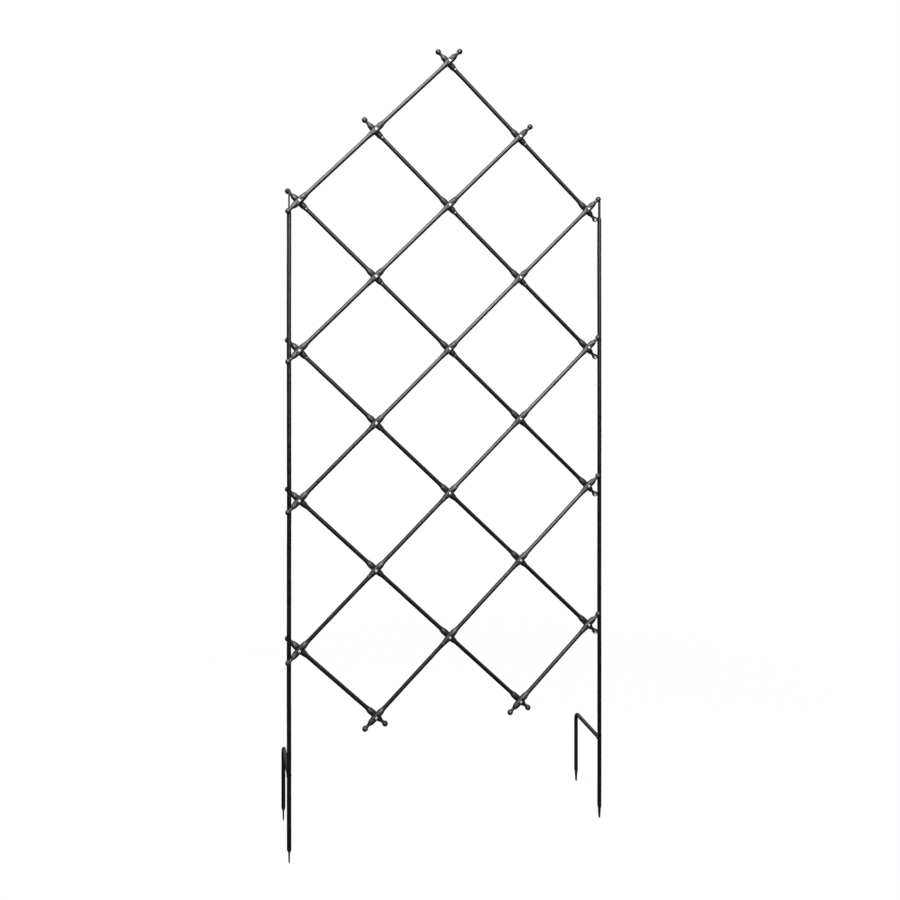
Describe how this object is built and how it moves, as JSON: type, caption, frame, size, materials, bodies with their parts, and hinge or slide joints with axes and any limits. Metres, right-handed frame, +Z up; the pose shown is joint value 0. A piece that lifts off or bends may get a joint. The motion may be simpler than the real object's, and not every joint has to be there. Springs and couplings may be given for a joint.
{
  "type": "garden trellis",
  "caption": "Freestanding wrought iron garden trellis: a riveted diamond lattice with ball finials under a gable top, on two posts whose chisel points and bent rear prongs push into the soil.",
  "frame": {"origin": "at soil level, on the line between the two posts and midway between them. The undersides of the two prong arms, which stop on the soil, are at z = 0", "axes": "+Z up along the posts. +X to the viewer's right, from post to post. -Y towards the viewer, the face with the bars that rise to the right, and +Y the way the two bent prongs reach"},
  "size_m": [0.7578, 0.1713, 1.8337],
  "materials": {
    "bar_paint": "satin",
    "collar_paint": "satin over cast iron",
    "post_paint": "satin",
    "prong_paint": "satin",
    "rivet_zinc": "bright zinc"
  },
  "bodies": {
    "root": {"front_bar_1": "bar_paint", "front_bar_2": "bar_paint", "front_bar_3": "bar_paint", "front_bar_4": "bar_paint", "front_bar_5": "bar_paint", "front_bar_6": "bar_paint", "rear_bar_1": "bar_paint", "rear_bar_2": "bar_paint", "rear_bar_3": "bar_paint", "rear_bar_4": "bar_paint", "rear_bar_5": "bar_paint", "rear_bar_6": "bar_paint", "front_collar_01": "collar_paint", "front_collar_02": "collar_paint", "front_collar_03": "collar_paint", "front_collar_04": "collar_paint", "front_collar_05": "collar_paint", "front_collar_06": "collar_paint", "front_collar_07": "collar_paint", "front_collar_08": "collar_paint", "front_collar_09": "collar_paint", "front_collar_10": "collar_paint", "rear_collar_01": "collar_paint", "rear_collar_02": "collar_paint", "rear_collar_03": "collar_paint", "rear_collar_04": "collar_paint", "rear_collar_05": "collar_paint", "rear_collar_06": "collar_paint", "rear_collar_07": "collar_paint", "rear_collar_08": "collar_paint", "rear_collar_09": "collar_paint", "rear_collar_10": "collar_paint", "rivet_01": "rivet_zinc", "rivet_02": "rivet_zinc", "rivet_03": "rivet_zinc", "rivet_04": "rivet_zinc", "rivet_05": "rivet_zinc", "rivet_06": "rivet_zinc", "rivet_07": "rivet_zinc", "rivet_08": "rivet_zinc", "rivet_09": "rivet_zinc", "rivet_10": "rivet_zinc", "rivet_11": "rivet_zinc", "rivet_12": "rivet_zinc", "rivet_13": "rivet_zinc", "rivet_14": "rivet_zinc", "rivet_15": "rivet_zinc", "rivet_16": "rivet_zinc", "rivet_17": "rivet_zinc", "rivet_18": "rivet_zinc", "rivet_19": "rivet_zinc", "rivet_20": "rivet_zinc", "rivet_21": "rivet_zinc", "rivet_22": "rivet_zinc", "rivet_23": "rivet_zinc", "left_post": "post_paint", "right_post": "post_paint", "left_prong": "prong_paint", "right_prong": "prong_paint"}
  },
  "joints": []
}
